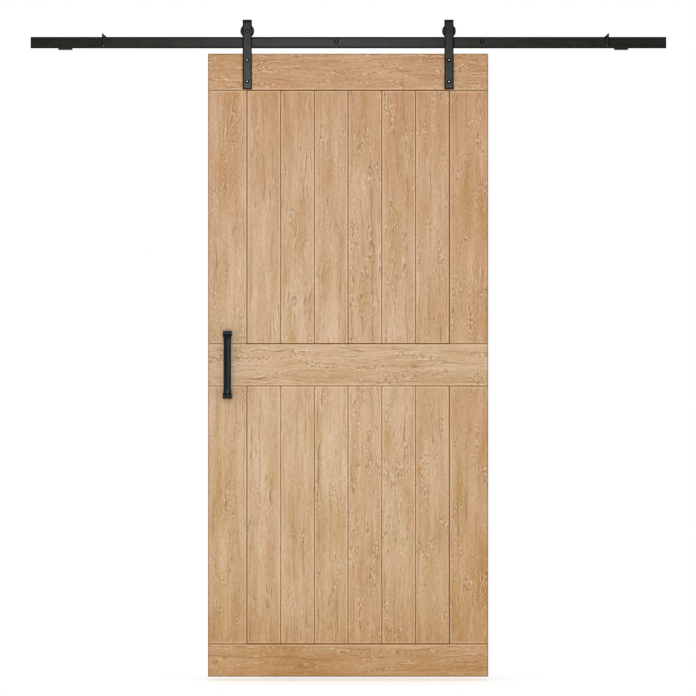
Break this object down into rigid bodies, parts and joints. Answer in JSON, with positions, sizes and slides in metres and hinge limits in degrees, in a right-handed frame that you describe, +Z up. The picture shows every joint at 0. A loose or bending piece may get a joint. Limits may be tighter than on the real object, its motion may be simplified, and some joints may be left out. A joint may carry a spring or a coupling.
{
  "type": "sliding barn door",
  "caption": "Planked sliding barn door with a middle rail and a round pull handle, hung by bent strap hangers with grooved wheels from a flat wall track.",
  "frame": {"origin": "on the wall plane, at the middle of the middle spacer's wall face, on the axis of the middle track bolt", "axes": "+X along the track to the right as seen from the room, +Y towards the wall, +Z up"},
  "size_m": [2.074, 0.106, 2.1433],
  "materials": {
    "oak_boards": "matt light oak surface with fine grain, small knots and short cracks",
    "black_steel": "satin black powder coat",
    "black_nylon": "matt black nylon",
    "handle_iron": "black, slightly uneven casting with a soft sheen"
  },
  "bodies": {
    "track": {"track_bar": "black_steel", "middle_spacer": "black_steel", "right_spacer": "black_steel", "left_end_bracket": "black_steel", "right_end_bracket": "black_steel", "left_stop": "black_steel", "right_stop": "black_steel"},
    "door": {"top_rail": "oak_boards", "middle_rail": "oak_boards", "bottom_rail": "oak_boards", "upper_left_stile": "oak_boards", "upper_right_stile": "oak_boards", "lower_left_stile": "oak_boards", "lower_right_stile": "oak_boards", "upper_plank_1": "oak_boards", "upper_plank_2": "oak_boards", "upper_plank_3": "oak_boards", "upper_plank_4": "oak_boards", "upper_plank_5": "oak_boards", "upper_plank_6": "oak_boards", "lower_plank_1": "oak_boards", "lower_plank_2": "oak_boards", "lower_plank_3": "oak_boards", "lower_plank_4": "oak_boards", "lower_plank_5": "oak_boards", "lower_plank_6": "oak_boards", "pull_handle": "handle_iron", "left_hanger_strap": "black_steel", "right_hanger_strap": "black_steel", "left_axle": "black_steel", "right_axle": "black_steel", "left_bushes": "black_nylon", "right_bushes": "black_nylon"},
    "left_wheel": {"left_wheel": "black_nylon"},
    "right_wheel": {"right_wheel": "black_nylon"}
  },
  "joints": [
    {"name": "door_slide", "type": "slide", "parent": "track", "child": "door", "axis": [1, 0, 0], "range_m": [-0.439, 0.487]},
    {"name": "left_wheel_roll", "type": "hinge", "parent": "door", "child": "left_wheel", "pos_m": [-0.29, -0.035, 0.0343], "axis": [0, 1, 0], "continuous": true},
    {"name": "right_wheel_roll", "type": "hinge", "parent": "door", "child": "right_wheel", "pos_m": [0.368, -0.035, 0.0343], "axis": [0, 1, 0], "continuous": true}
  ],
  "couplings": [
    {"joint": "left_wheel_roll", "follows": "door_slide", "rad_per_m": 52.632},
    {"joint": "right_wheel_roll", "follows": "door_slide", "rad_per_m": 52.632}
  ]
}
